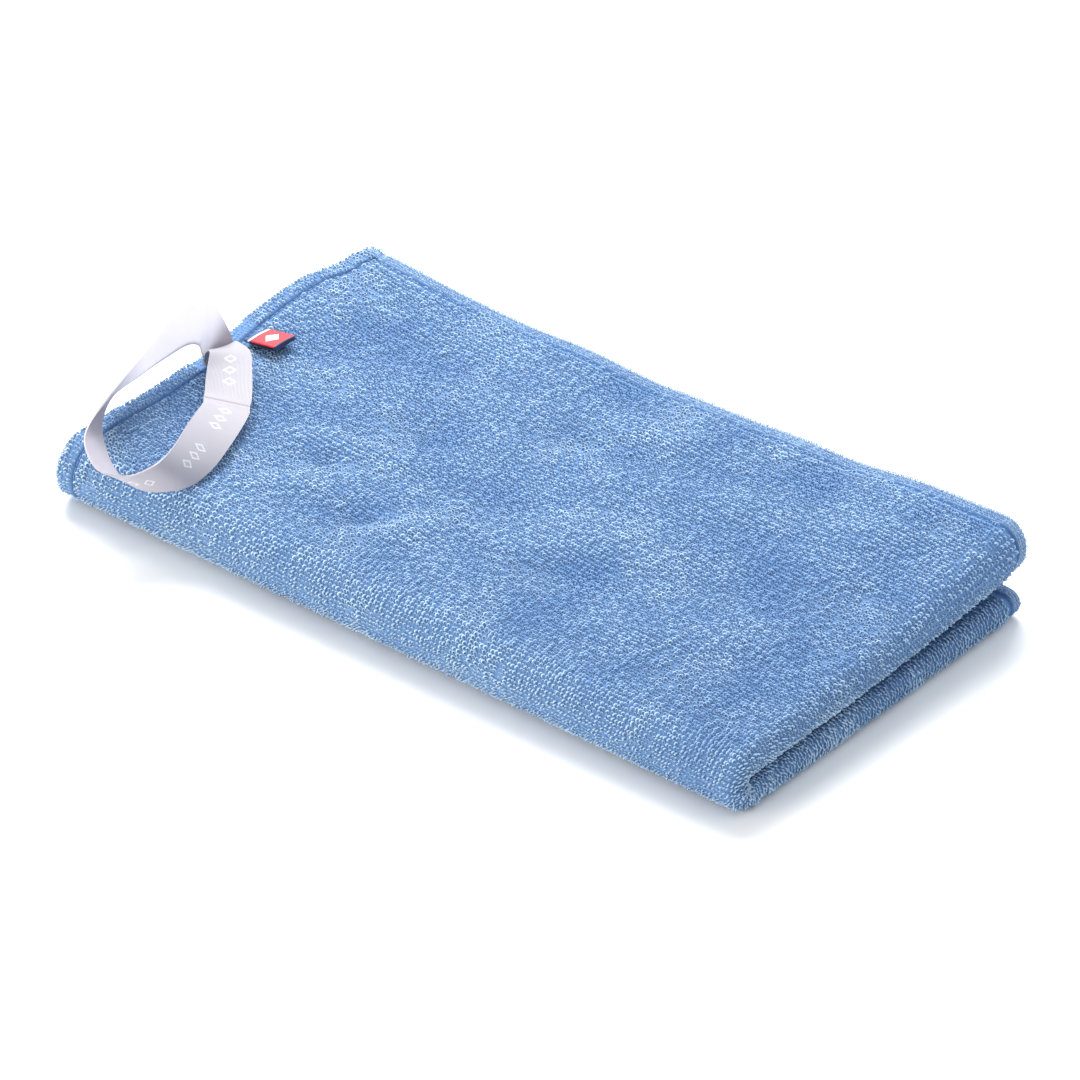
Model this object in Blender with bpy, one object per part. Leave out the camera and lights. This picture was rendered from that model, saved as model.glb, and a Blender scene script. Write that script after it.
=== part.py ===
"""A terry towel folded in half across and then in half along, with its hanging loop and woven tag.

The frame: +X runs from the hems to the two end folds, +Y from the long fold to the
selvedges and +Z up. The origin lies on the surface that the towel rests on, midway
along its length and width. Sizes are in metres.

Four layers of cloth lie in the stack. From the bottom they are the outer and inner layers
of the lower half, then the inner and outer layers of the upper half. A place in the stack
is given by u, from 0 at the hems to 1 where the end folds begin to turn, and v, from 0 at
the long fold to 1 at the selvedges.
"""

from math import cos, pi, sin

import bpy
from mathutils import Vector

# The folded towel.
FOLDED_LENGTH = 0.350
FOLDED_WIDTH = 0.198
EDGE_DRAW_IN = 0.007  # the selvedges draw in by this much towards the end folds
CLOTH = 0.0042  # terry cloth with its loops
LAYER_GAP = 0.0005  # between layers that lie on each other
SEAM_GAP = 0.00035  # between pieces of the same layer

# The folds, as outside heights.
LONG_FOLD_HEIGHT = 0.0288
HINGE_OUTSET = 0.0010  # how far beyond the long fold the cloth is taken to bend
LOWER_FOLD_AT_CORNER, LOWER_FOLD_AT_EDGE = 0.0120, 0.0150
UPPER_FOLD_AT_CORNER, UPPER_FOLD_AT_EDGE = 0.0140, 0.0188

# The edges of the cloth.
HEM_WIDTH = 0.0075
SELVEDGE_WIDTH = 0.0055
SELVEDGE_CLOTH = 0.0026
THREAD = 0.0006  # across a line of stitching
THREAD_SINK = 0.0007  # how far a line of stitching lies below the loops beside it

# The hanging loop, a flat ribbon.
RIBBON_WIDTH = 0.019
RIBBON_CLOTH = 0.0009
RIBBON_STEPS = 60

# The woven tag, folded over and sewn in with both its ends.
TAG_WIDTH = 0.0135
TAG_REACH = 0.0165
TAG_PLY = 0.0005
TAG_OPENING = 0.0016  # between its two plies at the fold
TAG_MIDDLE = 0.0160  # along the hem, from the middle of the towel
TAG_TILT = 0.16  # radians above the cloth
LOOP_MIDDLE = -0.0045
SEWN_CLEARANCE = 0.0010  # from the hem up to what is sewn in

# How finely the pieces are divided.
LENGTH_STEPS, WIDTH_STEPS, ARC_STEPS = 10, 6, 10

HEM_END = -FOLDED_LENGTH / 2
FOLD_END = FOLDED_LENGTH / 2
LONG_FOLD_SIDE = -FOLDED_WIDTH / 2
FOLD_RADIUS = LONG_FOLD_HEIGHT / 2
FOLD_LINE = LONG_FOLD_SIDE + FOLD_RADIUS  # where the flat layers begin
SEAM = HEM_END + HEM_WIDTH  # the inner edge of the hems
STITCH_GROOVE = THREAD + 2 * SEAM_GAP  # between a hem and the cloth beyond it

CLOTH_BLUE = (0.215, 0.390, 0.720, 1)
SELVEDGE_BLUE = (0.190, 0.335, 0.600, 1)
THREAD_BLUE = (0.130, 0.250, 0.520, 1)
RIBBON_MAUVE = (0.560, 0.520, 0.590, 1)
TAG_RED = (0.700, 0.020, 0.040, 1)


def mix(a, b, share):
    return a + (b - a) * share


# ---------------------------------------------------------------- the stack of layers


def roll(corner, edge, v):
    """The outside height of an end fold."""
    return mix(corner, edge, v)


def lower_roll(v):
    return roll(LOWER_FOLD_AT_CORNER, LOWER_FOLD_AT_EDGE, v)


def upper_roll(v):
    return roll(UPPER_FOLD_AT_CORNER, UPPER_FOLD_AT_EDGE, v)


def lower_gap(u, v):
    return mix(LAYER_GAP, lower_roll(v) - 2 * CLOTH, u)


def upper_gap(u, v):
    return mix(LAYER_GAP, upper_roll(v) - 2 * CLOTH, u)


def middle_gap(u, v):
    """Between the halves: open along the long fold, closed at the selvedges."""
    at_hems = mix(LONG_FOLD_HEIGHT - 4 * CLOTH - 2 * LAYER_GAP, LAYER_GAP, v)
    at_folds = mix(LONG_FOLD_HEIGHT - lower_roll(0) - upper_roll(0), 2 * LAYER_GAP, v)
    return mix(at_hems, at_folds, u)


def lower_outer(u, v):
    return 0.0


def lower_inner(u, v):
    return CLOTH + lower_gap(u, v)


def upper_inner(u, v):
    return lower_inner(u, v) + CLOTH + middle_gap(u, v)


def upper_outer(u, v):
    return upper_inner(u, v) + CLOTH + upper_gap(u, v)


def turn_x(roll_height):
    """Where an end fold of this height begins to turn."""
    return FOLD_END - roll_height / 2


def layer_x(roll_of, u, v):
    return mix(HEM_END, turn_x(roll_of(v)), u)


def edge_y(u):
    return FOLDED_WIDTH / 2 - EDGE_DRAW_IN * u


def layer_y(u, v):
    return mix(FOLD_LINE, edge_y(u), v)


def share_of_length(x):
    """The u of a point this far along the towel, near the hems."""
    return (x - HEM_END) / (turn_x(upper_roll(0)) - HEM_END)


def top_of_towel(x, y):
    """The upper face near the hems, where the loop and the tag are sewn in."""
    u = share_of_length(x)
    return upper_outer(u, (y - FOLD_LINE) / (edge_y(u) - FOLD_LINE)) + CLOTH


def sewn_place(y, width):
    """Where something of this width is sewn in: just clear of the cloth, which rises towards the long fold."""
    return Vector((SEAM, y, top_of_towel(SEAM, y - width / 2) + SEWN_CLEARANCE))


# ---------------------------------------------------------------- solids


def clear_scene():
    for thing in list(bpy.data.objects):
        bpy.data.objects.remove(thing, do_unlink=True)


def material(name, colour, roughness):
    made = bpy.data.materials.new(name)
    made.use_nodes = True
    surface = made.node_tree.nodes["Principled BSDF"]
    surface.inputs["Base Color"].default_value = colour
    surface.inputs["Roughness"].default_value = roughness
    surface.inputs["Metallic"].default_value = 0.0
    return made


def empty(name, place, parent=None):
    made = bpy.data.objects.new(name, None)
    bpy.context.scene.collection.objects.link(made)
    made.parent = parent
    made.location = place - (parent.matrix_world.translation if parent else Vector())
    bpy.context.view_layer.update()
    return made


def loft(name, rings, finish, hinge):
    """One closed solid through rings of points, with a flat cap on the first and the last."""
    count = len(rings[0])
    pivot = hinge.matrix_world.translation
    points = [Vector(p) - pivot for ring in rings for p in ring]
    faces = [list(range(count))[::-1]]
    for i in range(len(rings) - 1):
        start = i * count
        for j in range(count):
            k = (j + 1) % count
            faces.append([start + j, start + k, start + count + k, start + count + j])
    faces.append([(len(rings) - 1) * count + j for j in range(count)])
    mesh = bpy.data.meshes.new(name)
    mesh.from_pydata(points, [], faces)
    volume = 0.0
    mesh.calc_loop_triangles()
    for triangle in mesh.loop_triangles:
        a, b, c = (mesh.vertices[i].co for i in triangle.vertices)
        volume += a.dot(b.cross(c))
    if volume < 0:
        mesh.flip_normals()
    mesh.shade_smooth()
    mesh.set_sharp_from_angle(angle=pi / 5)
    mesh.materials.append(finish)
    made = bpy.data.objects.new(name, mesh)
    bpy.context.scene.collection.objects.link(made)
    made.parent = hinge
    return made


def steps(first, last, count):
    return [mix(first, last, i / count) for i in range(count + 1)]


def panel(name, bottom, roll_of, finish, hinge):
    """One flat layer, from its hem to where its end fold begins and out to its selvedge."""
    rings = []
    for i in range(LENGTH_STEPS + 1):
        start_u = (HEM_WIDTH + STITCH_GROOVE) / (turn_x(roll_of(0)) - HEM_END)
        u = mix(start_u, 1.0, i / LENGTH_STEPS)
        inner_v = 1 - (SELVEDGE_WIDTH + SEAM_GAP) / (edge_y(u) - FOLD_LINE)
        lower, upper = [], []
        for v in steps(0.0, inner_v, WIDTH_STEPS):
            x = layer_x(roll_of, u, v) - SEAM_GAP * u
            y = layer_y(u, v) + SEAM_GAP * (1 - v)
            lower.append((x, y, bottom(u, v)))
            upper.append((x, y, bottom(u, v) + CLOTH))
        rings.append(lower + upper[::-1])
    return loft(name, rings, finish, hinge)


def selvedge(name, bottom, roll_of, finish, hinge):
    """The flat woven border beside a layer's loops, thinner than they are."""
    rings = []
    for i in range(LENGTH_STEPS + 1):
        start_u = (HEM_WIDTH + STITCH_GROOVE) / (turn_x(roll_of(1)) - HEM_END)
        u = mix(start_u, 1.0, i / LENGTH_STEPS)
        y = edge_y(u)
        x = layer_x(roll_of, u, 1.0) - SEAM_GAP * u
        z = bottom(u, 1.0) + (CLOTH - SELVEDGE_CLOTH) / 2
        corners = ((y - SELVEDGE_WIDTH, z), (y, z), (y, z + SELVEDGE_CLOTH), (y - SELVEDGE_WIDTH, z + SELVEDGE_CLOTH))
        rings.append([(x, cy, cz) for cy, cz in corners])
    return loft(name, rings, finish, hinge)


def round_hem(centre, across, outward, thickness, width):
    """The outline of a turned hem: flat on both faces, and round where the cloth turns."""
    radius = thickness / 2
    outline = [centre + across * radius, centre - across * radius]
    for angle in steps(-pi / 2, pi / 2, ARC_STEPS // 2):
        middle = centre + outward * (width - radius)
        outline.append(middle + outward * radius * cos(angle) + across * radius * sin(angle))
    return outline


def hem(name, bottom, finish, hinge):
    """The turned end of one layer, from the long fold to its selvedge."""
    rings = []
    for v in steps(0.0, 1.0, WIDTH_STEPS):
        u = HEM_WIDTH / (turn_x(upper_roll(v)) - HEM_END)
        y = layer_y(u, v) + SEAM_GAP * (1 - v)
        middle = Vector((SEAM, y, bottom(u, v) + CLOTH / 2))
        rings.append(round_hem(middle, Vector((0, 0, 1)), Vector((-1, 0, 0)), CLOTH, HEM_WIDTH))
    return loft(name, rings, finish, hinge)


def hem_stitching(name, bottom, finish, hinge):
    """The thread that holds a hem down, sunk between the hem and the cloth beyond it."""
    rings = []
    x = SEAM + STITCH_GROOVE / 2
    for v in steps(0.01, 0.99, WIDTH_STEPS):
        u = (x - HEM_END) / (turn_x(upper_roll(v)) - HEM_END)
        low = bottom(u, v) + THREAD_SINK
        high = bottom(u, v) + CLOTH - THREAD_SINK
        y = layer_y(u, v)
        near, far = x - THREAD / 2, x + THREAD / 2
        rings.append([(near, y, low), (far, y, low), (far, y, high), (near, y, high)])
    return loft(name, rings, finish, hinge)


def half_tube(centre, outer, inner, ahead, up):
    """The outline of a fold seen along it: a half ring from its upper end round to its lower one."""
    outline = []
    for radius, angles in ((outer, steps(pi / 2, -pi / 2, ARC_STEPS)), (inner, steps(-pi / 2, pi / 2, ARC_STEPS))):
        for angle in angles:
            outline.append(centre + ahead * radius * cos(angle) + up * radius * sin(angle))
    return outline


def end_fold(name, bottom, roll_of, finish, hinge):
    """The rounded fold that joins the two layers of one half at the end away from the hems."""
    rings = []
    for v in steps(0.0, 1.0, WIDTH_STEPS):
        radius = roll_of(v) / 2
        y = layer_y(1.0, v) + SEAM_GAP * (1 - v)
        centre = Vector((turn_x(roll_of(v)), y, bottom(1.0, v) + radius))
        rings.append(half_tube(centre, radius, radius - CLOTH, Vector((1, 0, 0)), Vector((0, 0, 1))))
    return loft(name, rings, finish, hinge)


def inner_fold_radius(u):
    return (2 * CLOTH + middle_gap(u, 0.0)) / 2


def inner_fold_centre(u):
    return lower_inner(u, 0.0) + inner_fold_radius(u)


def long_fold(name, centre_z, radius_of, first_u, last_u, finish, hinge):
    """A stretch of the fold that joins the halves, at the outside or the inside of the stack."""
    rings = []
    for u in steps(first_u, last_u, LENGTH_STEPS):
        centre = Vector((layer_x(upper_roll, u, 0.0), FOLD_LINE, centre_z(u)))
        radius = radius_of(u)
        rings.append(half_tube(centre, radius, radius - CLOTH, Vector((0, -1, 0)), Vector((0, 0, 1))))
    return loft(name, rings, finish, hinge)


def long_fold_hem(name, centre_z, radius_of, finish, hinge):
    """The turned hem where it goes round the long fold."""
    rings = []
    u = HEM_WIDTH / (turn_x(upper_roll(0)) - HEM_END)
    for angle in steps(-pi / 2, pi / 2, ARC_STEPS):
        across = Vector((0, -cos(angle), sin(angle)))
        middle = Vector((SEAM - SEAM_GAP, FOLD_LINE, centre_z(u))) + across * (radius_of(u) - CLOTH / 2)
        rings.append(round_hem(middle, across, Vector((-1, 0, 0)), CLOTH, HEM_WIDTH - SEAM_GAP))
    return loft(name, rings, finish, hinge)


def long_fold_stitching(name, centre_z, radius_of, finish, hinge):
    """The hem's thread where it goes round the long fold."""
    rings = []
    x = SEAM + STITCH_GROOVE / 2
    u = share_of_length(x)
    for angle in steps(-0.48 * pi, 0.48 * pi, ARC_STEPS):
        ray = Vector((0, -cos(angle), sin(angle)))
        middle = Vector((x, FOLD_LINE, centre_z(u)))
        outside = middle + ray * (radius_of(u) - THREAD_SINK)
        inside = middle + ray * (radius_of(u) - CLOTH + THREAD_SINK)
        half = Vector((THREAD / 2, 0, 0))
        rings.append([inside - half, inside + half, outside + half, outside - half])
    return loft(name, rings, finish, hinge)


def corner_fold(name, finish, hinge):
    """The corner where the end folds meet the long fold: cloth turning in all round the hollow."""
    rings = []
    inner_radius = inner_fold_radius(1.0) - CLOTH
    middle_x = turn_x(upper_roll(0)) + SEAM_GAP
    for angle in steps(-pi / 2, pi / 2, ARC_STEPS):
        ray = Vector((0, -cos(angle), sin(angle)))
        outside = Vector((middle_x, FOLD_LINE, FOLD_RADIUS)) + ray * FOLD_RADIUS
        inside = Vector((middle_x, FOLD_LINE, inner_fold_centre(1.0))) + ray * inner_radius
        radius = (outside - inside).length / 2
        up = (outside - inside).normalized()
        rings.append(half_tube((outside + inside) / 2, radius, radius - CLOTH, Vector((1, 0, 0)), up))
    return loft(name, rings, finish, hinge)


# ---------------------------------------------------------------- the loop and the tag

# The ribbon's way, as pairs of points on its two edges: the edge that lies on the cloth or
# nearest to it, then the edge that stands up. They start at the seam with the end that comes
# over the top of the cloth, go round by the long fold and come back along the hem.
LOOP_EDGES = (
    ((-0.1672, 0.0050, 0.0002), (-0.1672, -0.0140, 0.0002)),
    ((-0.1670, 0.0042, 0.0045), (-0.1676, -0.0148, 0.0060)),
    ((-0.1640, 0.0020, 0.0085), (-0.1662, -0.0168, 0.0125)),
    ((-0.1570, -0.0015, 0.0088), (-0.1610, -0.0195, 0.0140)),
    ((-0.1445, -0.0120, 0.0060), (-0.1550, -0.0273, 0.0090)),
    ((-0.1298, -0.0295, 0.0018), (-0.1455, -0.0398, 0.0045)),
    ((-0.1155, -0.0571, 0.0020), (-0.1303, -0.0623, 0.0125)),
    ((-0.1100, -0.0751, 0.0020), (-0.1205, -0.0825, 0.0158)),
    ((-0.1105, -0.0872, 0.0015), (-0.1168, -0.0957, 0.0168)),
    ((-0.1180, -0.0930, -0.0005), (-0.1190, -0.1030, 0.0155)),
    ((-0.1299, -0.0968, -0.0035), (-0.1280, -0.1090, 0.0115)),
    ((-0.1415, -0.0985, 0.0000), (-0.1395, -0.1135, 0.0115)),
    ((-0.1558, -0.0905, 0.0020), (-0.1534, -0.1061, 0.0126)),
    ((-0.1677, -0.0788, 0.0040), (-0.1619, -0.0944, 0.0131)),
    ((-0.1745, -0.0640, 0.0058), (-0.1658, -0.0765, 0.0165)),
    ((-0.1762, -0.0449, 0.0070), (-0.1705, -0.0523, 0.0232)),
    ((-0.1765, -0.0295, 0.0080), (-0.1755, -0.0334, 0.0268)),
    ((-0.1755, -0.0160, 0.0088), (-0.1762, -0.0135, 0.0278)),
    ((-0.1730, -0.0110, 0.0092), (-0.1735, 0.0010, 0.0245)),
    ((-0.1700, -0.0112, 0.0070), (-0.1705, 0.0060, 0.0150)),
    ((-0.1684, -0.0130, 0.0035), (-0.1686, 0.0060, 0.0070)),
    ((-0.1682, -0.0140, 0.0002), (-0.1682, 0.0050, 0.0002)),
)


def smooth_place(points, share):
    """A point on the smooth curve through these points."""
    place = share * (len(points) - 1)
    i = min(int(place), len(points) - 2)
    t = place - i
    a, b = points[i], points[i + 1]
    before = points[i - 1] if i else a + (a - b)
    after = points[i + 2] if i + 2 < len(points) else b + (b - a)
    return 0.5 * (
        2 * a + (b - before) * t + (2 * before - 5 * a + 4 * b - after) * t**2 + (3 * (a - b) + after - before) * t**3
    )


def hanging_loop(finish, hinge):
    """The ribbon, from one sewn end to the other. Heights in LOOP_EDGES are above the long fold's top
    or, for the ends, above the hem."""
    seat = hinge.matrix_world.translation.z
    edges = []
    for side in (0, 1):
        edge = []
        for i, pair in enumerate(LOOP_EDGES):
            x, y, z = pair[side]
            sewn = max(0.0, 1 - min(i, len(LOOP_EDGES) - 1 - i) / 3)
            edge.append(Vector((x, y, z + mix(LONG_FOLD_HEIGHT, seat, sewn))))
        edges.append(edge)
    rows = []
    for i in range(RIBBON_STEPS + 1):
        rows.append([smooth_place(edge, i / RIBBON_STEPS) for edge in edges])
    rings = []
    for i, (low, high) in enumerate(rows):
        ahead = sum(rows[min(i + 1, RIBBON_STEPS)], Vector()) - sum(rows[max(i - 1, 0)], Vector())
        middle = (low + high) / 2
        across = (high - low).normalized()
        face = ahead.cross(across).normalized() * RIBBON_CLOTH / 2
        half = across * RIBBON_WIDTH / 2
        rings.append([middle - half - face, middle + half - face, middle + half + face, middle - half + face])
    return loft("hanging_loop", rings, finish, hinge)


def woven_tag(finish, hinge):
    """A strip of woven label folded over, so that two plies point away from the hem."""
    pivot = hinge.matrix_world.translation
    ply = TAG_PLY
    radius = TAG_OPENING / 2 + ply
    straight = TAG_REACH - radius
    at_seam = ply + SEAM_GAP / 2  # half the height of both plies where they are sewn in
    outline = [(0.0, radius - at_seam)]
    outline += [(straight + radius * cos(a), radius + radius * sin(a)) for a in steps(-pi / 2, pi / 2, ARC_STEPS)]
    outline += [(0.0, radius + at_seam), (0.0, radius + at_seam - ply)]
    radius -= ply
    outline += [(straight + radius * cos(a), radius + ply + radius * sin(a)) for a in steps(pi / 2, -pi / 2, ARC_STEPS)]
    outline += [(0.0, radius + 2 * ply - at_seam)]
    rings = []
    for y in (-TAG_WIDTH / 2, TAG_WIDTH / 2):
        ring = []
        for reach, height in outline:
            up = height - TAG_OPENING / 2 - TAG_PLY
            x = reach * cos(TAG_TILT) - up * sin(TAG_TILT)
            z = reach * sin(TAG_TILT) + up * cos(TAG_TILT)
            ring.append(pivot + Vector((x + SEAM_GAP, y, z)))
        rings.append(ring)
    return loft("woven_tag", rings, finish, hinge)


# ---------------------------------------------------------------- the towel


def build():
    clear_scene()
    terry = material("terry", CLOTH_BLUE, 0.95)
    border = material("selvedge", SELVEDGE_BLUE, 0.85)
    thread = material("thread", THREAD_BLUE, 0.70)
    ribbon = material("ribbon", RIBBON_MAUVE, 0.45)
    label = material("label", TAG_RED, 0.60)

    top = upper_outer(1.0, 1.0) + CLOTH
    lower = empty("lower_half", Vector())
    hinge_y = LONG_FOLD_SIDE - HINGE_OUTSET
    fold = empty("long_fold_hinge", Vector((0, hinge_y, 0)), lower)
    upper = empty("upper_half_hinge", Vector((0, hinge_y, top)), fold)
    loop = empty("loop_hinge", sewn_place(LOOP_MIDDLE, RIBBON_WIDTH), upper)
    tag = empty("tag_hinge", sewn_place(TAG_MIDDLE, TAG_WIDTH), upper)

    layers = (
        ("lower_outer", lower_outer, lower_roll, lower),
        ("lower_inner", lower_inner, lower_roll, lower),
        ("upper_inner", upper_inner, upper_roll, upper),
        ("upper_outer", upper_outer, upper_roll, upper),
    )
    for name, bottom, roll_of, hinge in layers:
        panel(f"{name}_panel", bottom, roll_of, terry, hinge)
        selvedge(f"{name}_selvedge", bottom, roll_of, border, hinge)
        hem(f"{name}_hem", bottom, terry, hinge)
        hem_stitching(f"{name}_hem_stitching", bottom, thread, hinge)

    end_fold("lower_end_fold", lower_outer, lower_roll, terry, lower)
    end_fold("upper_end_fold", upper_inner, upper_roll, terry, upper)

    first_u = (HEM_WIDTH + STITCH_GROOVE) / (turn_x(upper_roll(0)) - HEM_END)
    outside = (lambda u: FOLD_RADIUS, lambda u: FOLD_RADIUS)
    inside = (inner_fold_centre, inner_fold_radius)
    for name, (centre_z, radius_of) in (("outer", outside), ("inner", inside)):
        long_fold(f"{name}_long_fold", centre_z, radius_of, first_u, 1.0, terry, fold)
        long_fold_hem(f"{name}_long_fold_hem", centre_z, radius_of, terry, fold)
        long_fold_stitching(f"{name}_long_fold_stitching", centre_z, radius_of, thread, fold)
    corner_fold("corner_fold", terry, fold)

    hanging_loop(ribbon, loop)
    woven_tag(label, tag)
    bpy.context.view_layer.update()


build()
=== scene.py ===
# %% [markdown]
# # A folded terry towel
# A small quick-drying towel lies folded in half across and then in half along, so four layers of
# cloth lie on each other. A ribbon loop and a folded label are sewn into its hem. The rigid model
# is loaded first as a frame, so every finer piece here is made in the same place, in metres:
# +X runs from the hems to the end folds, +Y from the long fold to the selvedges and +Z up.

from math import cos, pi, radians, sin

import bpy
import numpy as np
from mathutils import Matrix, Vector, noise


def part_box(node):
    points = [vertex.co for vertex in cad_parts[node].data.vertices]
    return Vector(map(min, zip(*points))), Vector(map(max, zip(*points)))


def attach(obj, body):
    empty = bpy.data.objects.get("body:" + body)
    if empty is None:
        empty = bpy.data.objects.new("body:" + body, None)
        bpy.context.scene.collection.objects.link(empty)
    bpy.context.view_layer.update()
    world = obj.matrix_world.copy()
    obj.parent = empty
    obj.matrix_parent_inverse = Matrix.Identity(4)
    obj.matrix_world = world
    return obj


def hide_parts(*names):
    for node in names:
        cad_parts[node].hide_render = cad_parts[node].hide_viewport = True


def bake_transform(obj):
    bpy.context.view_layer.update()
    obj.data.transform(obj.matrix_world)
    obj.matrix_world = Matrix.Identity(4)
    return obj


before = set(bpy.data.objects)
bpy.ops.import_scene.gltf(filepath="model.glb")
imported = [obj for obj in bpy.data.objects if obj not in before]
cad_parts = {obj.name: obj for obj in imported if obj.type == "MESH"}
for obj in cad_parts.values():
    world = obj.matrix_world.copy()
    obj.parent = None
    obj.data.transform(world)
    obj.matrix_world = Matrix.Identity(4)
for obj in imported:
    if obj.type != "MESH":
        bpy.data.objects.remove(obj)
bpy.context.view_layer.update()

# %% [markdown]
# A product shot of something flat is taken with a long lens from well above, so its edges stay
# nearly parallel. The camera sits far off along one direction and looks through a narrow angle.
# Its distance and lens together set how large a millimetre appears.

# %% Camera
AZIMUTH, ELEVATION = radians(39.4), radians(35.1)
DISTANCE, FIELD_WIDTH = 16.0, 0.432
ASIDE, ABOVE = -0.0042, 0.0060  # from the origin to the middle of the view, across it and up it
SENSOR = 36.0

level = cos(ELEVATION)
towards_camera = Vector((sin(AZIMUTH) * level, -cos(AZIMUTH) * level, sin(ELEVATION)))
rightwards = Vector((cos(AZIMUTH), sin(AZIMUTH), 0))
upwards = towards_camera.cross(rightwards)
camera_data = bpy.data.cameras.new("camera")
camera_data.sensor_width = SENSOR
camera_data.lens = SENSOR * DISTANCE / FIELD_WIDTH
camera_data.clip_start, camera_data.clip_end = 0.1, 100
camera = bpy.data.objects.new("camera", camera_data)
bpy.context.scene.collection.objects.link(camera)
camera.rotation_mode = "QUATERNION"
camera.location = rightwards * ASIDE + upwards * ABOVE + towards_camera * DISTANCE
camera.rotation_quaternion = towards_camera.to_track_quat("Z", "Y")
bpy.context.scene.camera = camera
print("lens", round(camera_data.lens), "mm at", DISTANCE, "m")

# %% [markdown]
# White goods are lit softly from all round on a white sweep. One large light high on the left
# gives the cloth its form and throws a faint shadow off the right-hand end. A weaker, warmer one
# low in front keeps the long fold bright, and the pale world fills the rest.

# %% Light and floor
WORLD_LIGHT, WORLD_COLOUR = 0.88, (0.93, 0.965, 1.0, 1)
KEY = {"place": (-1.05, 0.95, 1.45), "size": 1.5, "power": 72}
FRONT = {"place": (-0.9, -2.3, 0.40), "size": 1.6, "power": 56, "colour": (1.0, 0.90, 0.76)}
SWEEP_COLOUR = (0.93, 0.935, 0.94, 1)


def area_light(name, place, size, power, colour=(1, 1, 1)):
    data = bpy.data.lights.new(name, "AREA")
    data.energy, data.size, data.color = power, size, colour
    light = bpy.data.objects.new(name, data)
    bpy.context.scene.collection.objects.link(light)
    light.location = place
    light.rotation_mode = "QUATERNION"
    light.rotation_quaternion = Vector(place).to_track_quat("Z", "Y")
    return light


world = bpy.data.worlds.new("studio")
bpy.context.scene.world = world
world.use_nodes = True
world.node_tree.nodes["Background"].inputs["Color"].default_value = WORLD_COLOUR
world.node_tree.nodes["Background"].inputs["Strength"].default_value = WORLD_LIGHT
area_light("key", **KEY)
area_light("front", **FRONT)
bpy.context.scene.view_settings.view_transform = "Standard"

floor_mesh = bpy.data.meshes.new("floor")
FLOOR_REACH = 12.0
corners = [(-1, -1), (1, -1), (1, 1), (-1, 1)]
spots = [(x * FLOOR_REACH, y * FLOOR_REACH, 0) for x, y in corners]
floor_mesh.from_pydata(spots, [], [(0, 1, 2, 3)])
floor = bpy.data.objects.new("floor", floor_mesh)
bpy.context.scene.collection.objects.link(floor)
white = bpy.data.materials.new("white_sweep")
white.use_nodes = True
surface = white.node_tree.nodes["Principled BSDF"]
surface.inputs["Base Color"].default_value = SWEEP_COLOUR
surface.inputs["Roughness"].default_value = 0.9
surface.inputs["Specular IOR Level"].default_value = 0.0
floor_mesh.materials.append(white)
print("two lights, the world and the floor")

# %% [markdown]
# ## The lie of the cloth
# Every finer piece needs to know where the cloth lies, so the whole towel is one formula. A place
# on a half of the towel has two numbers. `a` runs along the cloth: 0 to 1 on the outer layer from
# its hem, 1 to 2 round the end fold, and 2 to 3 back along the inner layer to its hem. `t` runs
# across it: 1 at the selvedge, 0 where the long fold begins and -1 at the middle of that fold.
# The towel isn't folded exactly: the lower layers draw in at the selvedge more than the top one
# does, and the top layer rides up along it, so every edge shows.

# %% Sizes of the folded towel
CLOTH = 0.0042
GAP = 0.0005
HEM_END = -0.175
HEM_WIDTH = 0.0075
FOLD_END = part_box("upper_end_fold")[1].x
LONG_FOLD_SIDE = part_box("outer_long_fold")[0].y
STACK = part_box("outer_long_fold")[1].z
FOLD_RADIUS = STACK / 2
FOLD_LINE = LONG_FOLD_SIDE + FOLD_RADIUS
EDGE = 0.1000
EDGE_DRAW_IN = {"upper": (0.0060, 0.0105), "lower": (0.0140, 0.0130)}  # outer and inner layer
END_DRAW_IN, HEM_BULGE = {"upper": 0.0045, "lower": 0.0020}, 0.0050
BORDER, BORDER_DROP = 0.0092, 0.0014
BORDER_GROOVE = 0.0040  # the bare strip along the terry, before the rows of small loops
GROOVE = 0.0013  # where the hem's stitches sink in
HEM_SEAM = HEM_WIDTH + GROOVE / 2
END_ROOM = 0.008  # what the end fold takes of the length
RISE = 1.2  # how late along the length the layers part towards the end fold
FALL = 1.2  # how late across the width the halves part towards the long fold
HEM_LIFT, END_LIFT = 0.0040, 0.0062  # how far the top layer rides up near either end
print("stack", round(STACK * 1000, 1), "mm, fold line", round(FOLD_LINE * 1000, 1), "mm")


def lerp(a, b, share):
    return a + (b - a) * share


def smooth(x, low, high):
    x = np.clip((x - low) / (high - low), 0, 1)
    return x * x * (3 - 2 * x)


def bell(distance, width):
    return np.exp(-((distance / width) ** 2))


# %% How high each layer lies
# Heights of the two end folds, from the long fold's side to the selvedge.
UPPER_ROLL, LOWER_ROLL = (0.0140, 0.0222), (0.0120, 0.0122)
HEM_OPENING = STACK - 4 * CLOTH - 2 * GAP
FOLD_OPENING = STACK - UPPER_ROLL[0] - LOWER_ROLL[0]
DENTS = (  # (x, y, radius along, radius across, turn in degrees, height), in millimetres
    (-83, -20, 30, 6, 12, 2.0),
    (-90, -36, 14, 8, 12, -3.2),
    (-88, -57, 24, 6, 34, 1.9),
    (-51, -57, 13, 9, 30, -3.2),
    (-31, -56, 19, 7, 60, 2.3),
    (-70, 10, 17, 13, 0, -2.0),
    (-128, 12, 18, 22, 0, 1.8),
    (-28, 24, 30, 12, 15, 2.0),
    (-5, 44, 34, 12, 10, -2.2),
    (38, -6, 30, 14, 20, 2.2),
    (28, -38, 26, 10, 15, -1.8),
    (70, 42, 34, 12, 8, 2.2),
    (112, 5, 24, 16, 30, -2.4),
    (-105, 55, 30, 12, 10, -2.0),
    (22, 66, 26, 10, 5, 1.6),
    (128, 58, 20, 10, 20, 2.2),
    (96, -48, 26, 11, 25, 1.8),
)


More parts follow.
